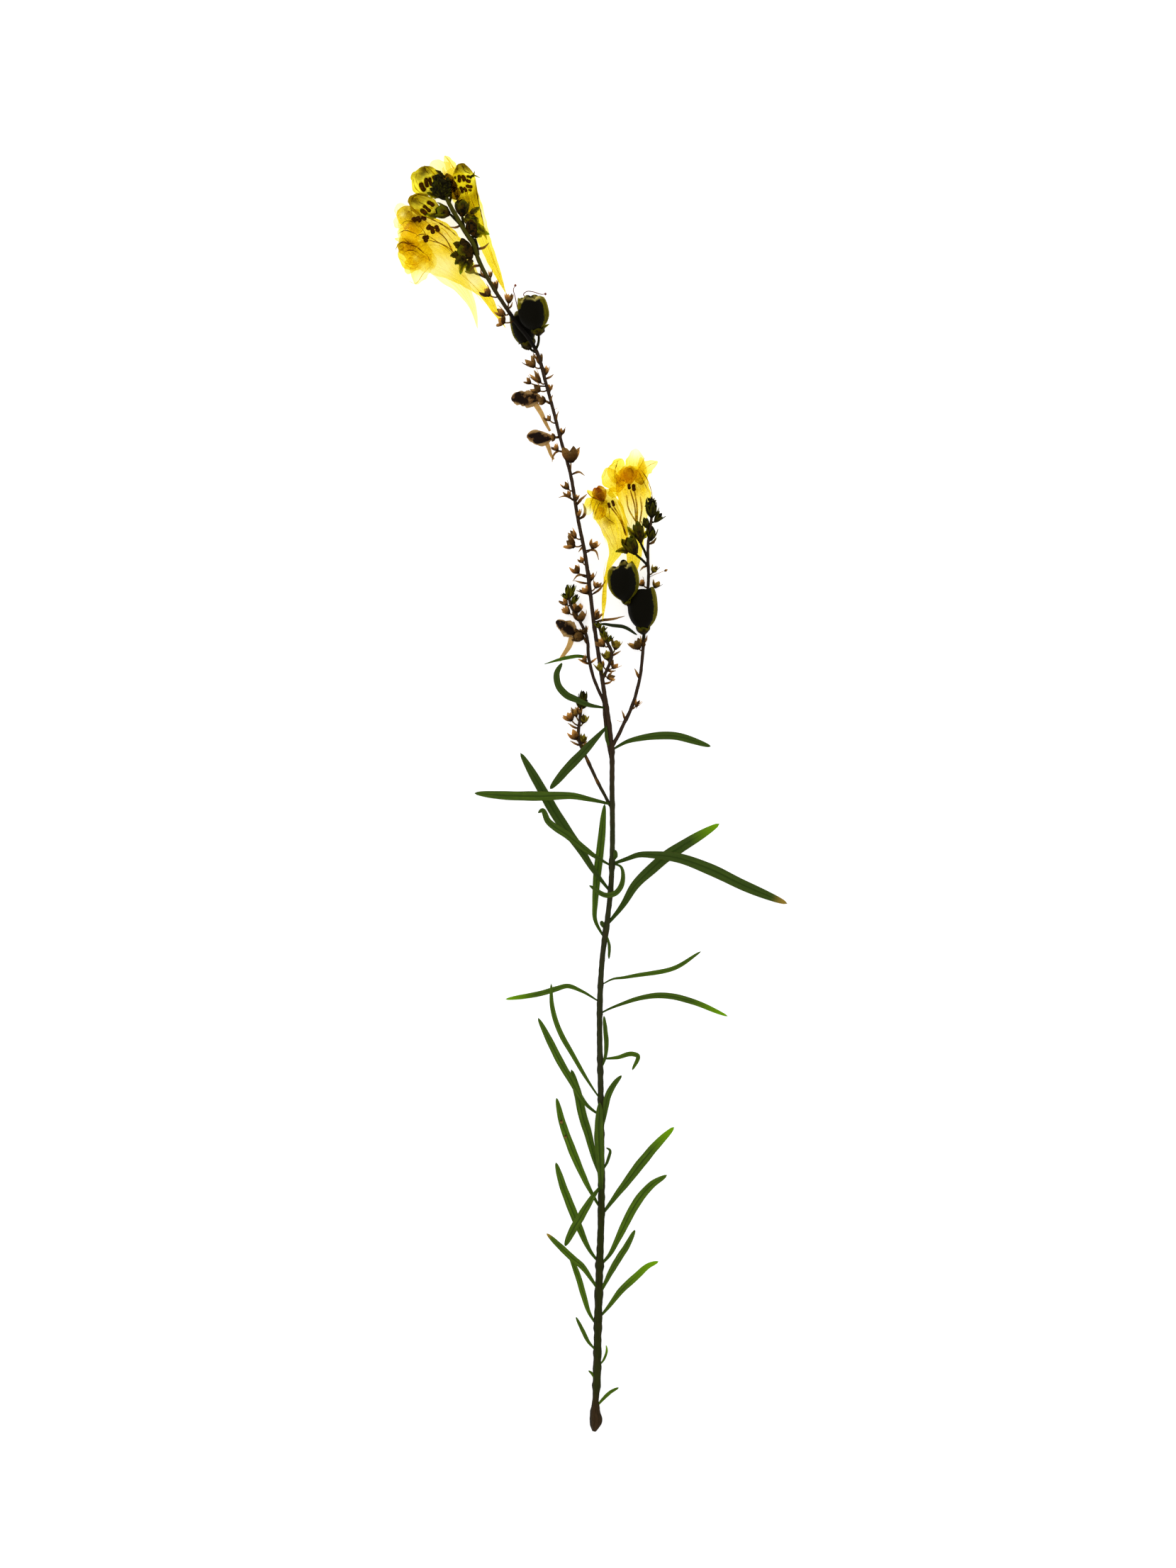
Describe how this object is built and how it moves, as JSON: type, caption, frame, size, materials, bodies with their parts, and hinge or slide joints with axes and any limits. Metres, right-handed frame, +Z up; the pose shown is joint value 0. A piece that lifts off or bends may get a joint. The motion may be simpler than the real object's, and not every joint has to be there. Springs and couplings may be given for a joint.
{
  "type": "common toadflax stem",
  "caption": "Cut wild toadflax stem with narrow leaves, spurred yellow snapdragon-like flowers, buds, seed capsules and empty calyces, lying flat.",
  "frame": {"origin": "on the surface the stem lies on, below the middle of its bounding box", "axes": "+Y from the cut base to the flowering tip, +X to the right of it seen from above, +Z up from the surface"},
  "size_m": [0.0782, 0.2526, 0.0099],
  "materials": {
    "stem_green": "matte, a soft herbaceous stem with thin leaves",
    "stalk_brown": "matte, dry side stalks with empty calyces",
    "petal_yellow": "satin, thin translucent petals",
    "petal_pale": "satin, faded translucent petals",
    "bud_green": "satin, translucent unopened petals",
    "palate_orange": "velvety",
    "anther_brown": "matte",
    "capsule_green": "satin, thin green capsule wall",
    "seed_dark": "matte, packed seeds",
    "withered_tan": "matte, shrivelled petals"
  },
  "bodies": {
    "root": {"leafy_stem": "stem_green", "right_raceme": "stalk_brown", "upper_left_raceme": "stalk_brown", "lower_left_raceme": "stalk_brown", "flower_a_corolla": "petal_yellow", "flower_b_corolla": "petal_pale", "bud_c_corolla": "bud_green", "bud_d_corolla": "bud_green", "flower_e_corolla": "bud_green", "flower_f_corolla": "petal_pale", "flower_g_corolla": "petal_yellow", "flower_h_corolla": "petal_yellow", "flower_a_palate": "palate_orange", "flower_g_palate": "palate_orange", "flower_h_palate": "palate_orange", "flower_a_stamens": "anther_brown", "bud_c_stamens": "anther_brown", "bud_d_stamens": "anther_brown", "flower_e_stamens": "anther_brown", "flower_g_stamens": "anther_brown", "flower_h_stamens": "anther_brown", "capsule_t1": "capsule_green", "capsule_t2": "capsule_green", "capsule_r1": "capsule_green", "capsule_r2": "capsule_green", "capsule_t1_seeds": "seed_dark", "capsule_t2_seeds": "seed_dark", "capsule_r1_seeds": "seed_dark", "capsule_r2_seeds": "seed_dark", "withered_flower_w1": "withered_tan", "withered_flower_w2": "withered_tan", "withered_flower_w3": "withered_tan"}
  },
  "joints": []
}
